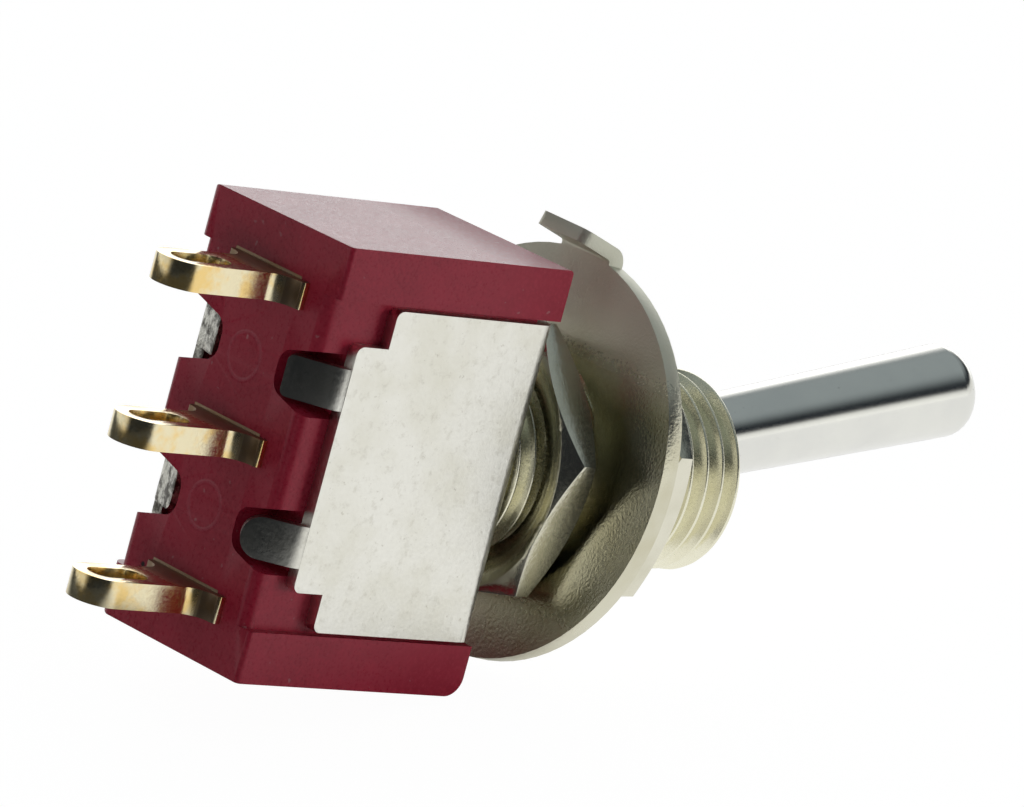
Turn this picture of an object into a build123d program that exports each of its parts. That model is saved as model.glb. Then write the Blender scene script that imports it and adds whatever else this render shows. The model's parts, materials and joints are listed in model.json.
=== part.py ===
from build123d import *
from math import cos, radians, sin, sqrt, tan
import os

# Miniature single-pole toggle switch for a panel, with solder lugs. Millimetres.
# +Z is the bushing axis, the handle's side. The origin lies on that axis, on the outer face of
# the steel mounting frame. X runs along the case, Y across it. The handle leans towards -X.

# moulded case
case_length = 13.0
case_width = 6.5
case_depth = 8.5
end_block = 1.55
end_rise = 0.12
floor_thick = 1.9
cavity_length = 9.0
cavity_width = 3.9
corner_round = 0.15
back_round = 0.45
top_end_round = 0.6
underside_round = 0.4

# sheet-steel mounting frame
sheet = 0.4
frame_length = 9.64
frame_width = 6.65
bend_inside = 0.12
apron_depth = 7.38
apron_corner_depth = 6.23
apron_narrow = 7.36
tab_pitch = 4.7
tab_width = 1.24
tab_length = 1.72
tab_bend = 0.35
tab_drop = 0.2
tab_folds = {(-1, -1): 50, (1, -1): 40, (-1, 1): 70, (1, 1): 68}
tab_tip_round = {(-1, -1): 0.2, (1, -1): 0.6, (-1, 1): 0.12, (1, 1): 0.3}
apron_corner_round = 0.25
frame_root = 0.8

# notches in the case for the folded tabs
notch_inner_width = 1.15
notch_flare = 15.0
notch_inset = {-1: 1.48, 1: 1.78}
notch_height = 1.35
notch_round = 0.5

# bushing
thread_diameter = 6.0
thread_pitch = 0.635
thread_crest = 0.155
thread_depth = 0.36
last_crest_inset = 0.235
bushing_length = 9.45
bushing_flange_length = 7.4
bushing_flange_width = 4.9
bushing_flange_thick = 0.8
keyway_width = 1.0
keyway_depth = 0.5
keyway_start = 0.6
mouth_diameter = 4.45

# handle
pivot_height = 5.7
throw = 26.0
ball_diameter = 3.9
socket_reach = 1.2
neck_diameter = 2.3
handle_root_diameter = 2.47
handle_end_diameter = 2.87
handle_reach = 14.8
handle_end_round = 0.7
skirt_diameter = 2.1
skirt_reach = 7.7
trunnion_diameter = 1.0
trunnion_span = 4.6

# sprung plunger in the handle's foot
plunger_diameter = 1.34
plunger_top = 5.5
plunger_tip_reach = 10.5
plunger_head_length = 1.6
plunger_nose_radius = 0.62
spring_seat = 2.5
spring_wire = 0.2
spring_turns = 6
spring_diameter = 1.2
wire_sides = 4

# rocking contact and its support
rocker_pivot_depth = 5.3
rocker_throw = 20.0
rocker_sheet = 0.35
rocker_width = 2.0
rocker_keel_radius = 0.5
rocker_knee = 2.35
rocker_end_slope = 10.0
rocker_half_length = 4.25
contact_offset = 3.75
moving_pad_diameter = 1.0
moving_pad_height = 0.3
support_length = 1.5
support_width = 2.4
support_lip = 0.15

# terminals
terminal_pitch = 4.7
blade_thick = 0.8
lug_width = 1.8
lug_end_depth = 12.65
lug_shift_x = 0.08
lug_shift_y = -0.2
collar_width = 3.4
collar_proud = 0.25
collar_blend = 0.65
collar_corner_round = 0.13
stem_width = 3.0
tongue_width = 1.5
tongue_height = 0.55
lug_hole_width = 0.95
lug_hole_length = 2.0
lug_hole_wall = 0.42
shelf_reach = 3.0
fixed_pad_diameter = 1.4

# hardware on the thread
nut_across_flats = 8.0
nut_thick = 1.25
nut_chamfer = 0.4
nut_countersink = 7.4
nut_sink_slope = 30.0
inner_nut_height = 0.98
outer_nut_height = 4.85
inner_nut_turn = 17.0
outer_nut_turn = 10.8
ring_diameter = 12.4
ring_play = 0.5
ring_thick = 0.57
ring_height = 2.8
ring_shift = -0.186
ring_lean = 6.65
ring_key_width = 0.8
ring_key_tip = 2.75
ring_tab_width = 2.15
ring_tab_thick = 0.42
ring_tab_length = 1.4
ring_tab_opening = 12.0
ring_tab_reach = 6.25
ring_tab_bend = 0.12
ring_tab_corner_round = 0.35

# clearances
slip = 0.02
running = 0.05
swing = 0.1

# two places closer than this are one place
same = 0.01

# places that follow from the sizes above
lean = throw / 2
tilt = rocker_throw / 2
pitch_radius = thread_diameter / 2 - 3 / 8 * thread_pitch * cos(radians(30))
case_bottom = -case_depth
seat_half_width = frame_width / 2 - sheet
end_inner = case_length / 2 - end_block
cavity_floor = case_bottom + floor_thick
flange_bottom = -sheet - bushing_flange_thick
handle_placement = Pos(0, 0, pivot_height) * Rot(0, -lean, 0)
rocker_placement = Pos(0, 0, -rocker_pivot_depth) * Rot(0, tilt, 0)
shelf_top = cavity_floor + blade_thick


def box(x0, x1, y0, y1, z0, z1):
    return Pos((x0 + x1) / 2, (y0 + y1) / 2, (z0 + z1) / 2) * Box(x1 - x0, y1 - y0, z1 - z0)


def rod(radius, low, high):
    """A cylinder on the Z axis between two heights."""
    return Pos(0, 0, (low + high) / 2) * Cylinder(radius, high - low)


def cross_rod(radius, width, z):
    """A cylinder along Y at a height on the Z axis."""
    return Pos(0, 0, z) * Rot(90, 0, 0) * Cylinder(radius, width)


def near(first, second, place):
    return abs(first - place[0]) < same and abs(second - place[1]) < same


def slab_xz(points, width):
    """A prism whose outline is given in X and Z, centred on Y."""
    outline = make_face(Polyline(*[(x, 0, z) for x, z in points], close=True))
    return extrude(outline, amount=width / 2, dir=(0, 1, 0), both=True)


def slab_yz(points, x, width, rounds=()):
    """A prism whose outline is given in Y and Z, centred on x, with some of its corners rounded."""
    outline = make_face(Polyline(*[(x, y, z) for y, z in points], close=True))
    for (y, z), radius in rounds:
        corner = outline.vertices().sort_by_distance(Vector(x, y, z))[0]
        outline = fillet(corner, radius)
    return extrude(outline, amount=width / 2, dir=(1, 0, 0), both=True)


def turned(points):
    """A solid of revolution about Z from its half outline in X and Z."""
    return revolve(make_face(Polyline(*[(x, 0, z) for x, z in points], close=True)), Axis.Z)


# ---- terminals ----

def lug_outline(x):
    """The blade below the case, seen along X: collar, blended shoulders and a lug with a round end."""
    half = lug_width / 2
    collar = collar_width / 2
    base = case_bottom - collar_proud
    root = base - collar_blend
    round_centre = -lug_end_depth + half
    right = half + collar_blend
    bulge = right - collar_blend / sqrt(2)
    waist = root + collar_blend / sqrt(2)
    edges = [
        Line((x, -collar, case_bottom), (x, collar, case_bottom)),
        Line((x, collar, case_bottom), (x, collar, base)),
        Line((x, collar, base), (x, right, base)),
        ThreePointArc((x, right, base), (x, bulge, waist), (x, half, root)),
        Line((x, half, root), (x, half, round_centre)),
        ThreePointArc((x, half, round_centre), (x, 0, -lug_end_depth), (x, -half, round_centre)),
        Line((x, -half, round_centre), (x, -half, root)),
        ThreePointArc((x, -half, root), (x, -bulge, waist), (x, -right, base)),
        Line((x, -right, base), (x, -collar, base)),
        Line((x, -collar, base), (x, -collar, case_bottom)),
    ]
    outline = make_face(Wire(edges))
    corners = [v for v in outline.vertices() if abs(abs(v.Y) - collar) < same and abs(v.Z - base) < same]
    return fillet(corners, collar_corner_round)


def lug(x):
    """The blade with its slot, set a little off the stem above it."""
    blade = extrude(lug_outline(x), amount=blade_thick / 2, dir=(1, 0, 0), both=True)
    hole_end = -lug_end_depth + lug_hole_wall
    hole = slab_yz(
        [
            (-lug_hole_width / 2, hole_end),
            (lug_hole_width / 2, hole_end),
            (lug_hole_width / 2, hole_end + lug_hole_length),
            (-lug_hole_width / 2, hole_end + lug_hole_length),
        ],
        x,
        2 * blade_thick,
    )
    hole = fillet(hole.edges().filter_by(Axis.X), lug_hole_width / 2 - same)
    return Pos(lug_shift_x, lug_shift_y, 0) * (blade - hole)


def end_terminal(side):
    """An outer terminal: its blade runs up through the floor and turns in along it."""
    x = side * terminal_pitch
    half = stem_width / 2
    stem = box(x - blade_thick / 2, x + blade_thick / 2, -half, half, case_bottom, shelf_top)
    inner = side * shelf_reach
    outer = x + side * blade_thick / 2
    shelf = box(min(inner, outer), max(inner, outer), -half, half, cavity_floor, shelf_top)
    return lug(x) + stem + shelf


def tongue(gap):
    """The centre terminal's top end, which the rocker's support is staked over."""
    half = blade_thick / 2 + gap / 2
    wide = tongue_width / 2 + gap / 2
    return box(-half, half, -wide, wide, cavity_floor, cavity_floor + tongue_height)


def common_terminal():
    half = stem_width / 2
    stem = box(-blade_thick / 2, blade_thick / 2, -half, half, case_bottom, cavity_floor)
    return lug(0) + stem + tongue(0)


def fixed_contact(side):
    """A silver button on the outer terminal's shelf, as tall as the closed rocker leaves room for."""
    button = rod(fixed_pad_diameter / 2, shelf_top, closed_pad_height() - slip)
    return Pos(side * contact_offset, 0, 0) * button


# ---- rocking contact ----

def nose_centre(foot_lean, rocker_tilt):
    """Centre of the plunger's nose in the rocker's frame, for a foot that leans towards +X."""
    reach = plunger_tip_reach - plunger_nose_radius
    foot = radians(foot_lean)
    turn = radians(rocker_tilt)
    x = reach * sin(foot)
    z = pivot_height - reach * cos(foot) + rocker_pivot_depth
    return x * cos(turn) - z * sin(turn), x * sin(turn) + z * cos(turn)


def nose_path():
    """Radius of the nose's path over the rocker, and the height of that path's centre."""
    start = nose_centre(0, 0)[1]
    x, z = nose_centre(lean, tilt)
    radius = (x * x + (z - start) ** 2) / (2 * (z - start))
    return radius, start + radius


path_radius, trough_centre = nose_path()
trough_radius = path_radius + plunger_nose_radius + slip


def trough_height(x, radius):
    return trough_centre - sqrt(radius * radius - x * x)


def arm_height(x):
    """Height of a raised end's upper face above the pivot, when the rocker is level."""
    return trough_height(rocker_knee, trough_radius) + (x - rocker_knee) * tan(radians(rocker_end_slope))


def closed_pad_height():
    """Height of the closed moving pad's face, at its middle."""
    slope = radians(rocker_end_slope)
    turn = radians(tilt)
    drop = rocker_sheet + moving_pad_height
    x = contact_offset + drop * sin(slope)
    z = arm_height(contact_offset) - drop * cos(slope)
    return -rocker_pivot_depth + z * cos(turn) - x * sin(turn)


def rocker_contact():
    """A bent strip: a round trough for the plunger, raised ends, and a keel to rock on."""
    end = rocker_half_length
    knee = rocker_knee
    low_radius = trough_radius + rocker_sheet
    drop = rocker_sheet / cos(radians(rocker_end_slope))
    slope = tan(radians(rocker_end_slope))
    below = trough_centre - arm_height(0) + drop
    square = 1 + slope * slope
    low_turn = (slope * below + sqrt(square * low_radius**2 - below**2)) / square
    low_knee = arm_height(low_turn) - drop
    edges = [
        ThreePointArc(
            (-knee, 0, arm_height(knee)),
            (0, 0, trough_height(0, trough_radius)),
            (knee, 0, arm_height(knee)),
        ),
        Line((knee, 0, arm_height(knee)), (end, 0, arm_height(end))),
        Line((end, 0, arm_height(end)), (end, 0, arm_height(end) - drop)),
        Line((end, 0, arm_height(end) - drop), (low_turn, 0, low_knee)),
        ThreePointArc(
            (low_turn, 0, low_knee),
            (0, 0, trough_height(0, low_radius)),
            (-low_turn, 0, low_knee),
        ),
        Line((-low_turn, 0, low_knee), (-end, 0, arm_height(end) - drop)),
        Line((-end, 0, arm_height(end) - drop), (-end, 0, arm_height(end))),
        Line((-end, 0, arm_height(end)), (-knee, 0, arm_height(knee))),
    ]
    strip = extrude(make_face(Wire(edges)), amount=rocker_width / 2, dir=(0, 1, 0), both=True)
    keel = cross_rod(rocker_keel_radius, rocker_width, 0)
    web_top = trough_height(0, trough_radius) - rocker_sheet / 2
    web = box(-rocker_keel_radius, rocker_keel_radius, -rocker_width / 2, rocker_width / 2, 0, web_top)
    return rocker_placement * (strip + keel + web)


def moving_pad(side):
    pad = rod(moving_pad_diameter / 2, -rocker_sheet - moving_pad_height, -rocker_sheet)
    place = Pos(side * contact_offset, 0, arm_height(contact_offset)) * Rot(0, -side * rocker_end_slope, 0)
    return rocker_placement * place * pad


def rocker_support():
    """The brass saddle on the centre terminal, with a groove that the rocker's keel turns in."""
    half = support_length / 2
    top = -rocker_pivot_depth - support_lip
    block = box(-half, half, -support_width / 2, support_width / 2, cavity_floor, top)
    groove = cross_rod(rocker_keel_radius + running, 2 * support_width, -rocker_pivot_depth)
    return block - groove - tongue(slip)


# ---- handle and plunger ----

def handle():
    """Tapered bat, ball with two trunnions, and the bored foot that carries the plunger."""
    neck = neck_diameter / 2
    end = handle_end_diameter / 2
    crown = end - handle_end_round
    shoulder = handle_reach - handle_end_round
    waist = handle_end_round / sqrt(2)
    sides = [
        (crown, handle_reach),
        (0, handle_reach),
        (0, 0),
        (neck, 0),
        (neck, ball_diameter / 2),
        (handle_root_diameter / 2, bushing_length - pivot_height),
        (end, shoulder),
    ]
    sides = [(x, 0, z) for x, z in sides]
    tip = ThreePointArc(sides[-1], (crown + waist, 0, shoulder + waist), sides[0])
    bat = revolve(make_face(Wire([tip, *Polyline(*sides).edges()])), Axis.Z)
    foot = rod(skirt_diameter / 2, -skirt_reach, 0)
    trunnions = cross_rod(trunnion_diameter / 2, trunnion_span, 0)
    bore = rod(plunger_diameter / 2 + running, -skirt_reach, -spring_seat)
    return handle_placement * (bat + Sphere(ball_diameter / 2) + foot + trunnions - bore)


def plunger():
    """Round nylon pin with a domed nose that rides in the rocker's trough."""
    nose_depth = plunger_tip_reach - plunger_nose_radius
    head = rod(plunger_diameter / 2, -plunger_top - plunger_head_length, -plunger_top)
    shank = rod(plunger_nose_radius, -nose_depth, -plunger_top)
    return handle_placement * (head + shank + Pos(0, 0, -nose_depth) * Sphere(plunger_nose_radius))


def plunger_spring():
    length = plunger_top - spring_seat - spring_wire
    path = Helix(length / spring_turns, length, (spring_diameter - spring_wire) / 2)
    section = Plane(path @ 0, z_dir=path % 0) * RegularPolygon(spring_wire / 2, wire_sides)
    coil = sweep(section, path, is_frenet=True)
    return handle_placement * Pos(0, 0, -plunger_top + spring_wire / 2) * coil


# ---- bushing ----

def thread_groove(height):
    """One turn of the thread's groove, as a ring."""
    radius = thread_diameter / 2
    half = (thread_pitch - thread_crest) / 2
    return turned([(radius - thread_depth, height), (radius, height + half), (radius, height - half)])


def bushing():
    """Threaded bushing with a flat-sided flange under the frame, a ball socket and a flared mouth.

    Its thread is cut where it shows, beyond the outer nut. Under a nut the bushing is turned down
    to the thread's pitch line, where the two threads meet.
    """
    radius = thread_diameter / 2
    body = rod(radius, flange_bottom, bushing_length)
    long = bushing_flange_length / 2
    wide = bushing_flange_width / 2
    flange = box(-long, long, -wide, wide, flange_bottom, -sheet)
    below = box(-2 * long, 2 * long, -2 * long, 2 * long, flange_bottom, -sheet)
    body = body - (below - flange) + flange
    for height in (inner_nut_height, outer_nut_height):
        low = height + sink_depth(radius + slip)
        high = height + nut_thick + slip
        body -= rod(2 * radius, low, high) - rod(pitch_radius, low, high)
    groove = bushing_length - last_crest_inset + thread_pitch / 2
    while groove > outer_nut_height + nut_thick:
        body -= thread_groove(groove)
        groove -= thread_pitch

    socket = ball_diameter / 2 + running
    bore = rod(socket, flange_bottom, pivot_height)
    throat = sqrt(socket**2 - socket_reach**2)
    mouth = turned(
        [
            (0, pivot_height),
            (throat, pivot_height),
            (throat, pivot_height + socket_reach),
            (mouth_diameter / 2, bushing_length),
            (mouth_diameter / 2, 2 * bushing_length),
            (0, 2 * bushing_length),
        ]
    )
    slot_top = pivot_height - sqrt(socket**2 - (skirt_diameter / 2) ** 2)
    slope = radians(lean)
    side = skirt_diameter / 2 / cos(slope) + swing
    top_half = (pivot_height - slot_top) * tan(slope) + side
    low_half = (pivot_height - flange_bottom) * tan(slope) + side
    outline = [
        (-low_half, flange_bottom),
        (low_half, flange_bottom),
        (top_half, slot_top),
        (-top_half, slot_top),
    ]
    sweep_slot = slab_xz(outline, skirt_diameter + 2 * swing)
    ear = trunnion_diameter / 2 + running
    ear_span = trunnion_span / 2 + swing
    ears = box(-ear, ear, -ear_span, ear_span, flange_bottom, pivot_height)
    ears = ears + cross_rod(ear, 2 * ear_span, pivot_height)
    key_half = keyway_width / 2
    keyway = box(radius - keyway_depth, 2 * radius, -key_half, key_half, keyway_start, 2 * bushing_length)
    above = rod(radius, pivot_height + socket_reach, bushing_length)
    socket_ball = Pos(0, 0, pivot_height) * Sphere(socket) - above
    return body - bore - socket_ball - mouth - sweep_slot - ears - keyway


# ---- hardware on the thread ----

def sink_depth(radius):
    """How deep in a nut its countersink has come down to a radius."""
    return (nut_countersink / 2 - radius) * tan(radians(nut_sink_slope))


def hex_nut(height, turn):
    """Thin hexagon nut, its corners turned off on both faces and its bore countersunk below."""
    flat = nut_across_flats / 2
    corner = flat / cos(radians(30))
    blank = extrude(RegularPolygon(corner, 6), amount=nut_thick)
    form = turned(
        [
            (0, 0),
            (flat, 0),
            (corner, nut_chamfer),
            (corner, nut_thick - nut_chamfer),
            (flat, nut_thick),
            (0, nut_thick),
        ]
    )
    bore = pitch_radius + slip
    hole = turned(
        [(0, 0), (nut_countersink / 2, 0), (bore, sink_depth(bore)), (bore, nut_thick), (0, nut_thick)]
    )
    return Pos(0, 0, height) * Rot(0, 0, turn) * ((blank & form) - hole)


def locating_ring():
    """Flat keyed ring with an anti-turn tab folded towards the panel. It hangs loose and leans."""
    radius = ring_diameter / 2
    disc = rod(radius, 0, ring_thick)
    bore = (thread_diameter + ring_play) / 2
    hole = rod(bore, 0, ring_thick)
    tooth = box(ring_key_tip, radius - ring_thick, -ring_key_width / 2, ring_key_width / 2, 0, ring_thick)
    blank = disc - hole + tooth
    opening = radians(ring_tab_opening)
    out = (-sin(opening), -cos(opening))
    across = (-cos(opening), sin(opening))
    foot = (-ring_tab_reach, 0.0)
    toe = (foot[0] + out[0] * ring_tab_length, foot[1] + out[1] * ring_tab_length)
    heel = (toe[0] + across[0] * ring_tab_thick, toe[1] + across[1] * ring_tab_thick)
    rise = (ring_thick - heel[1]) / -out[1]
    shoulder = (heel[0] - out[0] * rise, ring_thick)
    inside = bore - radius
    corners = [(inside - ring_thick, 0), foot, toe, heel, shoulder, (inside - ring_thick, ring_thick)]
    outline = make_face(Polyline(*[(x, 0, z) for x, z in corners], close=True))
    inner = outline.vertices().sort_by_distance(Vector(foot[0], 0, foot[1]))[0]
    outline = fillet(inner, ring_tab_bend)
    outer = outline.vertices().sort_by_distance(Vector(shoulder[0], 0, shoulder[1]))[0]
    outline = fillet(outer, ring_thick)
    tab = extrude(outline, amount=ring_tab_width / 2, dir=(0, 1, 0), both=True)
    end = ((toe[0] + heel[0]) / 2, (toe[1] + heel[1]) / 2)
    tip_edges = [e for e in tab.edges() if near(e.center().X, e.center().Z, end)]
    tip_edges = [e for e in tip_edges if abs(e.center().Y) > same]
    tab = fillet(tip_edges, ring_tab_corner_round)
    return Pos(ring_shift, 0, ring_height) * Rot(0, ring_lean, 0) * (blank + tab)


# ---- frame ----

def folded_tab(x_side, y_side):
    """One tab of the frame, folded in under the case, built on the -Y side and mirrored if needed."""
    angle = radians(tab_folds[x_side, y_side])
    outer = -frame_width / 2
    inner = outer + sheet
    fold = -apron_depth - tab_drop
    out = (sin(angle), -cos(angle))
    across = (cos(angle), sin(angle))
    toe = (outer + out[0] * tab_length, fold + out[1] * tab_length)
    back = (toe[0] + across[0] * sheet, toe[1] + across[1] * sheet)
    crook = (inner, fold + sheet * tan(angle / 2))
    root = fold + frame_root
    tab = slab_yz(
        [(outer, root), (outer, fold), toe, back, crook, (inner, root)],
        x_side * tab_pitch / 2,
        tab_width,
        [((outer, fold), sheet + tab_bend), (crook, tab_bend)],
    )
    end = ((toe[0] + back[0]) / 2, (toe[1] + back[1]) / 2)
    tip_edges = [e for e in tab.edges() if abs(e.length - sheet) < same]
    tip_edges = [e for e in tip_edges if near(e.center().Y, e.center().Z, end)]
    tab = fillet(tip_edges, tab_tip_round[x_side, y_side])
    if y_side > 0:
        tab = mirror(tab, Plane.XZ)
    return tab


def mounting_frame():
    """Top plate, two aprons and four folded tabs, from one piece of sheet."""
    half = frame_length / 2
    wide = frame_width / 2
    channel = box(-half, half, -wide, wide, -apron_depth, 0)
    channel = fillet(channel.edges().filter_by(Axis.X).group_by(Axis.Z)[-1], sheet + bend_inside)
    inside = box(-half, half, -wide + sheet, wide - sheet, -apron_depth, -sheet)
    inside = fillet(inside.edges().filter_by(Axis.X).group_by(Axis.Z)[-1], bend_inside)
    narrow = apron_narrow / 2
    channel = channel - inside
    for side in (-1, 1):
        low = min(side * narrow, side * half)
        channel -= box(low, low + half - narrow, -wide, wide, -apron_depth, -apron_corner_depth)
    low_edges = [e for e in channel.edges().filter_by(Axis.Y) if e.center().Z < -apron_corner_depth + same]
    outer_corners = [
        e for e in low_edges if e.center().Z < -apron_depth + same or abs(e.center().X) > half - same
    ]
    channel = fillet(outer_corners, apron_corner_round)
    channel -= rod(thread_diameter / 2 + slip, -2 * sheet, sheet)
    for x_side in (-1, 1):
        for y_side in (-1, 1):
            channel += folded_tab(x_side, y_side)
    return channel


# ---- case ----

def end_wall(side):
    """The thick end of the case, which stands a little above the frame. Its rounds meet in mitres."""
    inner = side * end_inner
    outer = side * case_length / 2
    wide = case_width / 2
    blank = box(min(inner, outer), max(inner, outer), -wide, wide, case_bottom, end_rise)
    x, y, z = blank.center()
    rounds = [
        ((x, wide, case_bottom), back_round),
        ((x, -wide, case_bottom), corner_round),
        ((outer, wide, z), back_round),
        ((outer, y, end_rise), top_end_round if side > 0 else corner_round),
    ]
    wall = blank
    for middle, radius in rounds:
        edge = blank.edges().sort_by_distance(Vector(*middle))[0]
        wall = wall & fillet(edge, radius)
    return wall


def tab_notch(x_side, y_side):
    """The notch in the floor that a folded tab grips, round at its inner end and wider outwards."""
    x = x_side * tab_pitch / 2
    inner = seat_half_width - notch_inset[y_side]
    half = notch_inner_width / 2
    mouth = half + (case_width - inner) * tan(radians(notch_flare))
    corners = [(x - half, inner), (x - mouth, case_width), (x + mouth, case_width), (x + half, inner)]
    outline = [(along, y_side * across, case_bottom) for along, across in corners]
    notch = extrude(make_face(Polyline(*outline, close=True)), amount=notch_height, dir=(0, 0, 1))
    inner_edges = [e for e in notch.edges().filter_by(Axis.Z) if abs(abs(e.center().Y) - inner) < same]
    return fillet(inner_edges, notch_round)


def case():
    """Moulded case: end walls, recessed sides, tab notches and the pocket for the mechanism."""
    seat = seat_half_width
    block = box(-end_inner, end_inner, -seat, seat, case_bottom, -sheet)
    block = fillet(block.edges().filter_by(Axis.X).group_by(Axis.Z)[0], underside_round)
    block = fillet(block.edges().filter_by(Axis.X).group_by(Axis.Z)[-1], bend_inside + slip)
    for side in (-1, 1):
        block += end_wall(side)
    pocket_length = bushing_flange_length / 2 + running
    pocket_width = bushing_flange_width / 2 + running
    long = cavity_length / 2
    wide = cavity_width / 2
    block -= box(-long, long, -wide, wide, cavity_floor, 0)
    block -= box(-pocket_length, pocket_length, -pocket_width, pocket_width, flange_bottom - slip, 0)
    for x_side in (-1, 1):
        for y_side in (-1, 1):
            block -= tab_notch(x_side, y_side)
    for terminal in (end_terminal(-1), common_terminal(), end_terminal(1)):
        block -= terminal
    return block


def save(name, shape):
    export_step(shape, f"parts/{name}.step")
    print(name, round(shape.volume, 2), len(shape.solids()))


os.makedirs("parts", exist_ok=True)
save("case", case())
save("mounting_frame", mounting_frame())
save("bushing", bushing())
save("handle", handle())
save("plunger", plunger())
save("plunger_spring", plunger_spring())
save("rocker_contact", rocker_contact())
save("rocker_support", rocker_support())
save("terminal_common", common_terminal())
save("inner_nut", hex_nut(inner_nut_height, inner_nut_turn))
save("outer_nut", hex_nut(outer_nut_height, outer_nut_turn))
save("locating_ring", locating_ring())
for suffix, side in (("left", -1), ("right", 1)):
    save(f"terminal_{suffix}", end_terminal(side))
    save(f"fixed_contact_{suffix}", fixed_contact(side))
    save(f"moving_contact_{suffix}", moving_pad(side))
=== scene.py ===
import json
import math
import bpy
from mathutils import Matrix, Vector


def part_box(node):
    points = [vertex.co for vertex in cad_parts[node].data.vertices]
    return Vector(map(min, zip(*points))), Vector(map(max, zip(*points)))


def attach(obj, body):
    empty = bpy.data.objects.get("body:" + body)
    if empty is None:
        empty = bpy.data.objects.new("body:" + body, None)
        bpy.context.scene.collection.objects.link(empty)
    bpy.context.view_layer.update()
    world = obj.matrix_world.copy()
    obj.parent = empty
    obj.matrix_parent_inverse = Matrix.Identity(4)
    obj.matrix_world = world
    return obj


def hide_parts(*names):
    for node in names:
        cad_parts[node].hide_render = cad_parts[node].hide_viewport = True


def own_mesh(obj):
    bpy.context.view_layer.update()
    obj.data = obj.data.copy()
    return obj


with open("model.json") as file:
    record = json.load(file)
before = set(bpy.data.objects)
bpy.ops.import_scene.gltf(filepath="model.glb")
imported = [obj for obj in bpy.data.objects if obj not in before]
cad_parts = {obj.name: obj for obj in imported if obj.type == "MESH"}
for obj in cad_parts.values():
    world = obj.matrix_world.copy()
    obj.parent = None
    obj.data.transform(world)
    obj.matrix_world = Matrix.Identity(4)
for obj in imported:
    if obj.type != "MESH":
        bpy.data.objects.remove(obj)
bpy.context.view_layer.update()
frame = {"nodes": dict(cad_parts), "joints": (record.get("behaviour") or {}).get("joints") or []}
nodes = frame["nodes"]
joints = {joint["name"]: joint for joint in frame["joints"]}
MM = 0.001


def corner(node):
    """Lowest and highest corner of a CAD node, in millimetres."""
    low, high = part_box(node)
    return [v / MM for v in low], [v / MM for v in high]


# ---------------------------------------------------------------- camera
# The camera was worked out from the photograph. The photograph shows no ground: the object is taken
# to lie on the +X end of its case, tipped onto the locating ring's rim.

FLOOR_TIP = math.radians(12.0)
UP = Vector((-math.cos(FLOOR_TIP), 0.0, -math.sin(FLOOR_TIP)))
CAMERA_PLACE = Vector((-52.922, -197.125, -188.892)) * MM
CAMERA_AIM = Vector((-1.796, -0.880, 1.390)) * MM
CAMERA_ROLL = math.radians(95.156)
SENSOR_WIDTH = 36.0
FOCAL_LENGTH = 335.9
NEAREST = 0.01
FARTHEST = 5.0


def make_camera():
    """A long lens at the photograph's angle."""
    data = bpy.data.cameras.new("camera")
    data.sensor_width = SENSOR_WIDTH
    data.lens = FOCAL_LENGTH
    data.clip_start = NEAREST
    data.clip_end = FARTHEST
    camera = bpy.data.objects.new("camera", data)
    bpy.context.collection.objects.link(camera)
    aim = (CAMERA_AIM - CAMERA_PLACE).to_track_quat("-Z", "Y").to_matrix().to_4x4()
    roll = Matrix.Rotation(CAMERA_ROLL, 4, "Z")
    camera.matrix_world = Matrix.Translation(CAMERA_PLACE) @ aim @ roll
    bpy.context.scene.camera = camera


make_camera()


# ---------------------------------------------------------------- node materials

VALUE_OPERATIONS = ("DOT_PRODUCT", "LENGTH", "DISTANCE")


class Nodes:
    """A node tree, written as calls. Values are numbers, colours, vectors or other nodes' outputs."""

    def __init__(self, tree):
        self.tree = tree
        self.tree.nodes.clear()

    def node(self, kind, inputs=None, **settings):
        """A new shader node with its inputs and settings."""
        made = self.tree.nodes.new("ShaderNode" + kind)
        for key, value in settings.items():
            setattr(made, key, value)
        for key, value in (inputs or {}).items():
            self.feed(made.inputs[key], value)
        return made

    def feed(self, socket, value):
        """Links an output to a socket, or sets the socket's own value."""
        if isinstance(value, bpy.types.NodeSocket):
            self.tree.links.new(value, socket)
        elif isinstance(value, (tuple, list)) and len(value) == 3 and socket.type == "RGBA":
            socket.default_value = (*value, 1.0)
        else:
            socket.default_value = value

    def vector(self, operation, a, b=None, scale=None):
        """A vector operation's result."""
        made = self.node("VectorMath", {0: a}, operation=operation)
        if b is not None:
            self.feed(made.inputs[1], b)
        if scale is not None:
            self.feed(made.inputs["Scale"], scale)
        return made.outputs["Value" if operation in VALUE_OPERATIONS else "Vector"]

    def math(self, operation, a, b=0.0, clamp=False):
        """A number operation's result."""
        return self.node("Math", {0: a, 1: b}, operation=operation, use_clamp=clamp).outputs[0]

    def span(self, value, low, high, to_low=0.0, to_high=1.0):
        """A smooth step: to_low where the value is at low, to_high where it is at high."""
        values = {"Value": value, "From Min": low, "From Max": high, "To Min": to_low, "To Max": to_high}
        return self.node("MapRange", values, interpolation_type="SMOOTHSTEP").outputs["Result"]

    def blend(self, share, a, b):
        """Colour a, with its share of colour b."""
        made = self.node("Mix", data_type="RGBA")
        self.feed(made.inputs[0], share)
        self.feed(made.inputs[6], a)
        self.feed(made.inputs[7], b)
        return made.outputs[2]


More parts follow.
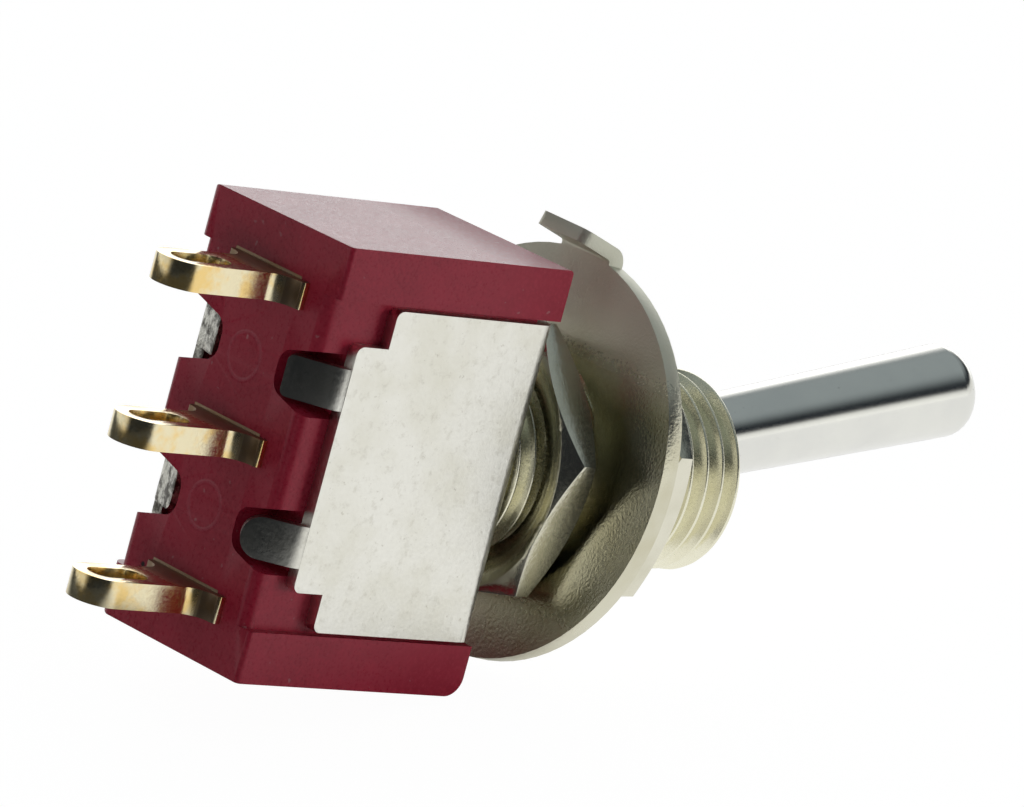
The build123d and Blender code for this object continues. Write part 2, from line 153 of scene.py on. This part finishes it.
class Shader(Nodes):
    """A node material. Places are the object's own coordinates, in millimetres."""

    def __init__(self, name):
        self.material = bpy.data.materials.new(name)
        self.material.use_nodes = True
        super().__init__(self.material.node_tree)
        coordinates = self.node("TexCoord")
        self.place = self.vector("SCALE", coordinates.outputs["Object"], scale=1.0 / MM)
        self.x, self.y, self.z = self.node("SeparateXYZ", {0: self.place}).outputs

    def noise(self, scale, detail=3.0, rough=0.5):
        """Noise with so many waves to a millimetre."""
        values = {"Vector": self.place, "Scale": scale, "Detail": detail, "Roughness": rough}
        return self.node("TexNoise", values).outputs["Fac"]

    def bump(self, height, strength, distance, normal=None):
        """A normal that makes the height show as relief, over another bump's normal if there is one."""
        values = {"Height": height, "Strength": strength, "Distance": distance * MM}
        if normal is not None:
            values["Normal"] = normal
        return self.node("Bump", values).outputs["Normal"]

    def show(self, surface):
        """Ends the material with this surface."""
        out = self.node("OutputMaterial")
        self.tree.links.new(surface, out.inputs["Surface"])
        return self.material

    def finish(self, **inputs):
        """Ends the material with a principled surface, its inputs named with _ for each space."""
        body = self.node("BsdfPrincipled", {key.replace("_", " "): v for key, v in inputs.items()})
        return self.show(body.outputs[0])


# On the case's underside: the ejector pins' circles, on both sides of the middle, and a small pit
# painted as a near-black spot of shade.
PIN_PLACE = 2.25
PIN_RADIUS = 0.69
PIT_PLACE = (4.65, 1.87)


def moulded_red():
    """The case's moulding: cloudy dark red with dust, and the ejector pins' marks on its underside."""
    s = Shader("case_moulding")
    cloud = s.noise(0.45, 4.0, 0.6)
    grain = s.noise(9.0, 4.0, 0.65)
    colour = s.blend(s.span(cloud, 0.3, 0.7), (0.35, 0.015, 0.038), (0.43, 0.021, 0.050))
    colour = s.blend(s.span(grain, 0.40, 0.80), colour, (0.47, 0.036, 0.066))
    dust = s.span(s.noise(3.4, 2.0, 0.5), 0.70, 0.75)
    colour = s.blend(s.math("MULTIPLY", dust, 0.30), colour, (0.60, 0.42, 0.42))

    floor = corner("case")[0][2]
    flat = s.node("CombineXYZ", {"X": s.math("ABSOLUTE", s.x), "Y": s.y, "Z": 0.0}).outputs[0]
    reach = s.vector("DISTANCE", flat, (PIN_PLACE, 0.0, 0.0))
    ring = s.span(s.math("ABSOLUTE", s.math("SUBTRACT", reach, PIN_RADIUS)), 0.02, 0.09, 1.0, 0.0)
    below = s.span(s.z, floor + 0.02, floor + 0.05, 1.0, 0.0)
    mark = s.math("MULTIPLY", ring, below)
    colour = s.blend(s.math("MULTIPLY", mark, 0.08), colour, (0.62, 0.30, 0.36))
    # Painted shade: the pit is a near-black spot with no hollow under it.
    pit_shade = s.span(s.vector("DISTANCE", s.place, (*PIT_PLACE, floor)), 0.05, 0.11, 1.0, 0.0)
    colour = s.blend(pit_shade, colour, (0.02, 0.004, 0.006))

    end_ramp = s.span(s.z, -3.0, 0.2, 0.0, 0.16)
    rough = s.math("ADD", s.span(grain, 0.2, 0.8, 0.24, 0.36), end_ramp)
    normal = s.bump(grain, 0.15, 0.02)
    normal = s.bump(s.noise(1.1, 2.0), 0.08, 0.05, normal)
    normal = s.bump(mark, 0.25, 0.03, normal)
    return s.finish(Base_Color=colour, Roughness=rough, Normal=normal, IOR=1.38)


def plated(name, colour, stain, rough, grain, metallic=1.0, specks=0.0):
    """A plain finish: two clouded colours, a range of roughness, and a grain's scale and strength."""
    s = Shader(name)
    cloud = s.noise(0.5, 3.0, 0.6)
    grain_scale, grain_strength = grain
    height = s.noise(grain_scale, 3.0, 0.6)
    tint = s.blend(s.span(cloud, 0.35, 0.75), colour, stain)
    if specks:
        spots = s.span(s.noise(5.0, 4.0, 0.7), 0.66, 0.74)
        tint = s.blend(s.math("MULTIPLY", spots, specks), tint, (0.16, 0.14, 0.10))
    gloss = s.span(height, 0.25, 0.75, *rough)
    normal = s.bump(height, grain_strength, 0.01)
    return s.finish(Base_Color=tint, Roughness=gloss, Normal=normal, Metallic=metallic)


def frame_tin():
    """Tin plate, pale on the aprons, with painted shade darkening the near tabs, torn and dull on the
    far ones.
    """
    s = Shader("frame_tin")
    cloud = s.noise(0.5, 3.0, 0.6)
    grain = s.noise(9.0, 4.0, 0.6)
    tint = s.blend(s.span(cloud, 0.35, 0.75), (0.85, 0.84, 0.77), (0.77, 0.755, 0.66))
    mottle = s.noise(2.4, 5.0, 0.7)
    tint = s.blend(s.span(mottle, 0.52, 0.70, 0.0, 0.45), tint, (0.58, 0.56, 0.48))
    spots = s.span(s.noise(5.0, 4.0, 0.7), 0.64, 0.72, 0.0, 0.35)
    tint = s.blend(spots, tint, (0.30, 0.27, 0.20))
    far = s.span(s.y, 1.2, 1.6)
    torn = s.math("MULTIPLY", far, s.span(s.z, -7.4, -7.2, 1.0, 0.0))
    # Painted shade: the near tabs are painted dark grey, darkest away from the apron.
    near = s.span(s.y, -1.8, -1.4, 1.0, 0.0)
    near_tab_painted_shade = s.math("MULTIPLY", near, s.span(s.z, -8.1, -7.3, 0.75, 0.0))
    tint = s.blend(near_tab_painted_shade, tint, (0.22, 0.22, 0.21))
    lumps = s.noise(2.6, 3.0, 0.7)
    tint = s.blend(s.math("MULTIPLY", torn, s.span(lumps, 0.40, 0.62)), tint, (0.13, 0.12, 0.10))
    rough = s.math("ADD", s.span(grain, 0.25, 0.75, 0.28, 0.42), s.math("MULTIPLY", torn, 0.1))
    normal = s.bump(grain, 0.45, 0.012)
    normal = s.bump(mottle, 0.35, 0.03, normal)
    normal = s.bump(s.math("MULTIPLY", lumps, torn), 1.0, 0.12, normal)
    return s.finish(Base_Color=tint, Roughness=rough, Normal=normal, Metallic=1.0)


def lug_gold():
    """A thin flash of gold, dull next to the case, with painted brown shade there except on the near
    edges.
    """
    s = Shader("lug_gold")
    cloud = s.noise(1.3, 3.0, 0.6)
    grain = s.noise(12.0, 3.0, 0.6)
    tint = s.blend(s.span(cloud, 0.38, 0.68), (0.86, 0.77, 0.52), (0.88, 0.64, 0.26))
    facing = s.node("SeparateXYZ", {0: s.node("NewGeometry").outputs["True Normal"]})
    # Painted shade: next to the case, faces turned away from the near side are painted dark brown.
    painted_shade_side = s.span(facing.outputs["Y"], -0.90, -0.60)
    dull = s.math("MULTIPLY", painted_shade_side, s.span(s.z, -10.0, -9.2))
    tint = s.blend(s.math("MULTIPLY", dull, 0.85), tint, (0.30, 0.19, 0.13))
    rough = s.math("ADD", s.span(grain, 0.25, 0.75, 0.13, 0.24), s.math("MULTIPLY", dull, 0.3))
    normal = s.bump(grain, 0.15, 0.01)
    return s.finish(Base_Color=tint, Roughness=rough, Normal=normal, Metallic=1.0)


def ring_nickel():
    """Bright nickel over a rolled sheet, with a painted pale sheen towards the tab, and dull at both
    ends.
    """
    s = Shader("ring_nickel")
    cloud = s.noise(0.5, 3.0, 0.6)
    grain = s.noise(10.0, 3.0, 0.6)
    tint = s.blend(s.span(cloud, 0.35, 0.75), (0.66, 0.64, 0.51), (0.58, 0.55, 0.40))
    end_ramp = s.span(s.x, -5.0, -2.0, 1.0, 0.0)
    dull = s.span(s.math("ABSOLUTE", s.x), 2.6, 5.0)
    # Painted sheen: towards the tab the nickel is painted paler.
    tint = s.blend(s.math("MULTIPLY", end_ramp, 0.6), tint, (0.80, 0.81, 0.68))
    rough = s.math("ADD", s.span(grain, 0.25, 0.75, 0.09, 0.18), s.math("MULTIPLY", dull, 0.30))
    normal = s.bump(grain, s.math("ADD", s.math("MULTIPLY", dull, 0.25), 0.60), 0.02)
    # Painted sheen: the paler part is also less metallic.
    metal = s.span(end_ramp, 0.0, 1.0, 1.0, 0.45)
    return s.finish(Base_Color=tint, Roughness=rough, Normal=normal, Metallic=metal)


# Colour and stain, low and high roughness, and the grain's scale and strength.
finishes = {
    "case": moulded_red(),
    "mounting_frame": frame_tin(),
    "locating_ring": ring_nickel(),
    "terminal_common": lug_gold(),
    "bushing": plated(
        "bushing_nickel", (0.84, 0.82, 0.66), (0.76, 0.73, 0.55), (0.18, 0.30), (14.0, 0.25)
    ),
    "inner_nut": plated(
        "nut_nickel", (0.74, 0.72, 0.60), (0.62, 0.60, 0.47), (0.14, 0.26), (9.0, 0.75)
    ),
    "handle": plated(
        "handle_chrome", (0.78, 0.78, 0.73), (0.74, 0.74, 0.70), (0.12, 0.20), (22.0, 0.06), specks=0.35
    ),
    "plunger": plated(
        "plunger_nylon", (0.80, 0.78, 0.70), (0.74, 0.72, 0.64), (0.40, 0.55), (8.0, 0.2), metallic=0.0
    ),
    "plunger_spring": plated(
        "spring_wire", (0.60, 0.60, 0.60), (0.50, 0.50, 0.50), (0.25, 0.40), (20.0, 0.1)
    ),
    "rocker_contact": plated(
        "rocker_copper", (0.85, 0.55, 0.38), (0.75, 0.45, 0.30), (0.25, 0.40), (10.0, 0.2)
    ),
    "rocker_support": plated(
        "support_brass", (0.85, 0.68, 0.36), (0.75, 0.58, 0.28), (0.25, 0.40), (10.0, 0.2)
    ),
    "fixed_contact_left": plated(
        "contact_silver", (0.88, 0.88, 0.86), (0.80, 0.80, 0.78), (0.25, 0.40), (12.0, 0.2)
    ),
}
finishes["outer_nut"] = finishes["inner_nut"]
for name in ("terminal_left", "terminal_right"):
    finishes[name] = finishes["terminal_common"]
for name in ("fixed_contact_right", "moving_contact_left", "moving_contact_right"):
    finishes[name] = finishes["fixed_contact_left"]
for name, made in finishes.items():
    nodes[name].data.materials.clear()
    nodes[name].data.materials.append(made)


# ---------------------------------------------------------------- edges

def smooth_group():
    """A modifier's node group that shades every face smooth."""
    group = bpy.data.node_groups.new("smooth", "GeometryNodeTree")
    for way in ("INPUT", "OUTPUT"):
        group.interface.new_socket("Geometry", in_out=way, socket_type="NodeSocketGeometry")
    start = group.nodes.new("NodeGroupInput")
    shade = group.nodes.new("GeometryNodeSetShadeSmooth")
    end = group.nodes.new("NodeGroupOutput")
    group.links.new(start.outputs[0], shade.inputs[0])
    group.links.new(shade.outputs[0], end.inputs[0])
    return group


SHARP_ANGLE = math.radians(32.0)
WELD_GAP = 0.002 * MM
FACE_WEIGHT = 80
all_smooth = smooth_group()


def soften(name, width, segments=3):
    """Breaks a CAD node's sharp edges by a width in millimetres, as moulding and tumbling do."""
    piece = nodes[name]
    weld = piece.modifiers.new("weld", "WELD")
    weld.merge_threshold = WELD_GAP
    bevel = piece.modifiers.new("edges", "BEVEL")
    bevel.limit_method = "ANGLE"
    bevel.angle_limit = SHARP_ANGLE
    bevel.width = width * MM
    bevel.segments = segments
    smooth = piece.modifiers.new("smooth", "NODES")
    smooth.node_group = all_smooth
    weighted = piece.modifiers.new("normals", "WEIGHTED_NORMAL")
    weighted.weight = FACE_WEIGHT


soften("case", 0.19)
soften("mounting_frame", 0.06)
for name in ("terminal_left", "terminal_common", "terminal_right"):
    soften(name, 0.14)
soften("locating_ring", 0.10)
for name in ("inner_nut", "outer_nut"):
    soften(name, 0.05, segments=2)


# ---------------------------------------------------------------- meshes

THREAD_SHARP_ANGLE = math.radians(25.0)


def mesh_piece(name, points, faces, material, body, node):
    """A piece of the object from points in millimetres, in place of a CAD node."""
    data = bpy.data.meshes.new(name)
    data.from_pydata([Vector(p) * MM for p in points], [], faces)
    data.validate()
    data.polygons.foreach_set("use_smooth", [True] * len(data.polygons))
    data.set_sharp_from_angle(angle=THREAD_SHARP_ANGLE)
    piece = bpy.data.objects.new(name, data)
    bpy.context.collection.objects.link(piece)
    data.materials.append(material)
    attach(piece, body)
    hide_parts(node)
    return piece


def grid_faces(rows, columns):
    """Faces of a grid of points that closes on itself both ways: round each row, and last to first."""
    faces = []
    for i in range(rows):
        here, there = i * columns, (i + 1) % rows * columns
        for j in range(columns):
            k = (j + 1) % columns
            faces.append((here + j, here + k, there + k, there + j))
    return faces


PITCH = 0.635
CREST_HEIGHT = 8.13  # the middle of one crest, where the thread passes +X
CREST = 3.0
ROOT = 2.62
CREST_SHARE = 0.16
ROOT_SHARE = 0.16
ROUNDING = 0.02
END_CHAMFER = 0.12
THREAD_START = -0.4  # inside the frame's hole
FLANK_MARKS = (0.21, 0.34)
STEPS_ROUND = 144

KEYWAY_FLOOR = 2.5
KEYWAY_HALF = 0.5
KEYWAY_START = 0.6
KEYWAY_STEPS = (-1.0, -0.6, -0.2, 0.2, 0.6, 1.0)
KEYWAY_CORNER = 0.004  # the angle in which the keyway's side rises
KEYWAY_CLEAR = 0.03

MOUTH_RADIUS = 2.27
MOUTH_CHAMFER = (0.045, 0.03)
THROAT_RADIUS = 1.6
THROAT_REACH = 1.2  # over the handle's pivot
SOCKET_RADIUS = 2.0
SOCKET_STEPS = (0.55, 0.45, 0.3, 0.15, 0.0)


def thread_radius(turns):
    """Radius of the thread's profile, from crest to crest: crest, flank, rounded root, flank."""
    u = abs(turns - round(turns))
    if u < CREST_SHARE / 2:
        return CREST - ROUNDING * (2 * u / CREST_SHARE) ** 2
    if u > 0.5 - ROOT_SHARE / 2:
        return ROOT - ROUNDING * math.sin(math.pi * (0.5 - u) / ROOT_SHARE)
    flank = (1 - CREST_SHARE - ROOT_SHARE) / 2
    return CREST - ROUNDING + (ROOT - CREST) * (u - CREST_SHARE / 2) / flank


def thread_angles(key_half):
    """The angles of the thread's columns: even steps, and closer ones across the keyway at +X."""
    turn = 2 * math.pi
    even = [turn * i / STEPS_ROUND for i in range(STEPS_ROUND)]
    clear = key_half + KEYWAY_CLEAR
    angles = {a for a in even if abs((a + math.pi) % turn - math.pi) > clear}
    angles |= {(key_half * step) % turn for step in KEYWAY_STEPS}
    angles |= {key_half + KEYWAY_CORNER, turn - key_half - KEYWAY_CORNER}
    return sorted(angles)


def thread_marks():
    """Where the profile has its points, in turns from a crest's middle to beyond the next root."""
    half = [CREST_SHARE / 4, CREST_SHARE / 2, *FLANK_MARKS, 0.5 - ROOT_SHARE / 2]
    root = [0.5 - ROOT_SHARE / 4, 0.5, 0.5 + ROOT_SHARE / 4]
    return [-mark for mark in reversed(half)] + [0.0] + half + root


def bore_profile(top):
    """Radius and height of the bushing's inside, from the mouth down through the ball's socket."""
    pivot = joints["lever_tilt"]["pos_m"][2] / MM
    flare, depth = MOUTH_CHAMFER
    profile = [(MOUTH_RADIUS, top), (MOUTH_RADIUS - flare, top - depth)]
    profile += [(THROAT_RADIUS, pivot + THROAT_REACH)]
    for t in SOCKET_STEPS:
        profile.append((SOCKET_RADIUS * math.cos(t), pivot + SOCKET_RADIUS * math.sin(t)))
    return profile + [(SOCKET_RADIUS, THREAD_START), (KEYWAY_FLOOR, THREAD_START)]


def threaded_bushing():
    """The bushing's outside as one helical sheet, its keyway, and the mouth and socket inside it."""
    top = corner("bushing")[1][2]
    first = CREST_HEIGHT - PITCH * math.ceil((CREST_HEIGHT - THREAD_START) / PITCH + 1)
    key_half = math.asin(KEYWAY_HALF / CREST)
    angles = thread_angles(key_half)
    turns = int((top - first) / PITCH) + 3
    heights = [turn + mark for turn in range(turns) for mark in thread_marks()]
    points = []
    for u in heights:
        for a in angles:
            lead = a / (2 * math.pi)
            z = min(max(first + PITCH * (u + lead), THREAD_START), top)
            r = thread_radius((z - first) / PITCH - lead)
            r = min(r, CREST - END_CHAMFER + (top - z))
            if min(a, 2 * math.pi - a) <= key_half + 1e-6 and z > KEYWAY_START:
                r = min(r, KEYWAY_FLOOR / math.cos(a))
            points.append((r * math.cos(a), r * math.sin(a), z))
    profile = bore_profile(top)
    for r, z in profile:
        points += [(r * math.cos(a), r * math.sin(a), z) for a in angles]
    faces = grid_faces(len(heights) + len(profile), len(angles))
    piece = mesh_piece("bushing_threaded", points, faces, finishes["bushing"], "housing", "bushing")


threaded_bushing()


def squashing_spring():
    """The plunger's spring as its own copy of the CAD mesh, carried with the lever."""
    solid = nodes["plunger_spring"]
    piece = bpy.data.objects.new("plunger_spring_coil", solid.data.copy())
    bpy.context.collection.objects.link(piece)
    bpy.context.view_layer.update()
    piece.matrix_world = solid.matrix_world.copy()
    bpy.context.view_layer.update()
    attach(piece, "lever")
    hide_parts("plunger_spring")
    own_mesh(piece)


squashing_spring()


# ---------------------------------------------------------------- stage and light

FLOOR_COLOUR = (0.85, 0.85, 0.84)
FLOOR_REACH = 0.6
FLOOR_GAP = 0.1 * MM
# Metal mirrors the floor, which glows for mirror rays: painted shadow, dark close to the object,
# and a painted pale glow further out: across Y and over the frame's top plate, but not past the lugs.
PALE_ACROSS = (4.0, 9.0)
PALE_BEYOND = (1.0, 4.0)
PALE_END = (-20.0, -4.0)
SHADED_GLOW = 0.04
EYE_GLOW = 1.085
GLOW_SHARE = 0.90


def make_floor():
    """A pale surface under the object, seen from above only: from below it lets the eye through."""
    s = Shader("floor")
    white = s.node("BsdfDiffuse", {"Color": FLOOR_COLOUR}).outputs[0]
    path = s.node("LightPath")
    seen = path.outputs["Is Camera Ray"]
    across = s.span(s.math("ABSOLUTE", s.y), *PALE_ACROSS)
    pale = s.math("MAXIMUM", across, s.span(s.z, *PALE_BEYOND))
    glow = s.math("MULTIPLY", pale, s.span(s.z, *PALE_END))
    # Painted light: the glow that mirrors see, with painted shadow near the object; the eye sees plain
    # white.
    glow = s.math("MAXIMUM", s.math("ADD", glow, SHADED_GLOW), s.math("MULTIPLY", seen, EYE_GLOW))
    shine = s.node("Emission", {"Color": (1.0, 1.0, 1.0), "Strength": glow}).outputs[0]
    share = s.math("MULTIPLY", s.math("ADD", seen, path.outputs["Is Glossy Ray"], True), GLOW_SHARE)
    top = s.node("MixShader", {0: share, 1: white, 2: shine}).outputs[0]
    clear = s.node("BsdfTransparent").outputs[0]
    back = s.node("NewGeometry").outputs["Backfacing"]
    s.show(s.node("MixShader", {0: back, 1: top, 2: clear}).outputs[0])
    data = bpy.data.meshes.new("floor")
    side = Vector((0.0, 1.0, 0.0))
    along = UP.cross(side)
    rim = Vector(corner("case")[1]) * MM
    foot = Vector((rim.x + FLOOR_GAP, 0.0, rim.z))
    signs = ((-1, -1), (1, -1), (1, 1), (-1, 1))
    ends = [foot + (side * a + along * b) * FLOOR_REACH for a, b in signs]
    data.from_pydata(ends, [], [(0, 1, 2, 3)])
    if data.polygons[0].normal.dot(UP) < 0:
        data.flip_normals()
    data.materials.append(s.material)
    piece = bpy.data.objects.new("floor", data)
    bpy.context.collection.objects.link(piece)


# The room: what is seen at a height over the horizon (its sine), from the floor's level upwards.
ROOM_LOW = (0.86, 0.86, 0.84)
ROOM_BANDS = (
    (0.13, 0.27, (0.012, 0.016, 0.022)),
    (0.34, 0.72, (0.30, 0.34, 0.355)),
)
# Soft patches, as direction, inner and outer half angle and colour: the pale sweep behind the
# object, the light at the front, the dim end that the terminals point at, the dark ceiling above
# them and the dark surroundings of the camera.
ROOM_PATCHES = (
    ((-0.05, 0.72, 0.69), 10.0, 46.0, (2.10, 2.10, 2.10)),
    ((0.35, -0.72, 0.60), 20.0, 40.0, (1.25, 1.25, 1.22)),
    ((0.10, -0.10, -1.00), 25.0, 52.0, (0.75, 0.75, 0.75)),
    ((-0.60, -0.40, -0.70), 30.0, 50.0, (0.05, 0.055, 0.06)),
    ((0.18, -0.66, -0.73), 38.0, 60.0, (0.022, 0.024, 0.027)),
)


def make_world():
    """The room that the metal mirrors and that lights the object. The eye sees plain white."""
    world = bpy.data.worlds.new("studio")
    bpy.context.scene.world = world
    world.use_nodes = True
    s = Nodes(world.node_tree)
    direction = s.node("TexCoord").outputs["Generated"]
    height = s.vector("DOT_PRODUCT", direction, UP)
    colour = ROOM_LOW
    for low, high, band in ROOM_BANDS:
        colour = s.blend(s.span(height, low, high), colour, band)
    for axis, inner, outer, patch in ROOM_PATCHES:
        near = s.vector("DOT_PRODUCT", direction, Vector(axis).normalized())
        share = s.span(near, math.cos(math.radians(outer)), math.cos(math.radians(inner)))
        colour = s.blend(share, colour, patch)
    room = s.node("Background", {"Color": colour}).outputs[0]
    white = s.node("Background", {"Color": (1.0, 1.0, 1.0)}).outputs[0]
    seen = s.node("LightPath").outputs["Is Camera Ray"]
    share = s.node("MixShader", {0: seen, 1: room, 2: white}).outputs[0]
    s.tree.links.new(share, s.node("OutputWorld").inputs["Surface"])


LAMP_DISTANCE = 0.5


def soft_lamp(name, direction, size, power):
    """A square lamp, aimed at the origin, which mirrors don't show."""
    data = bpy.data.lights.new(name, "AREA")
    data.shape = "SQUARE"
    data.size = size
    data.energy = power
    lamp = bpy.data.objects.new(name, data)
    lamp.visible_glossy = False
    lamp.location = Vector(direction).normalized() * LAMP_DISTANCE
    lamp.rotation_euler = Vector(direction).to_track_quat("Z", "Y").to_euler()
    bpy.context.collection.objects.link(lamp)


make_floor()
make_world()
soft_lamp("key", (0.0, -0.75, 0.65), size=0.22, power=2.3)
soft_lamp("fill", (0.35, -0.45, -0.82), size=0.30, power=1.3)

bpy.context.scene.view_settings.view_transform = "Standard"
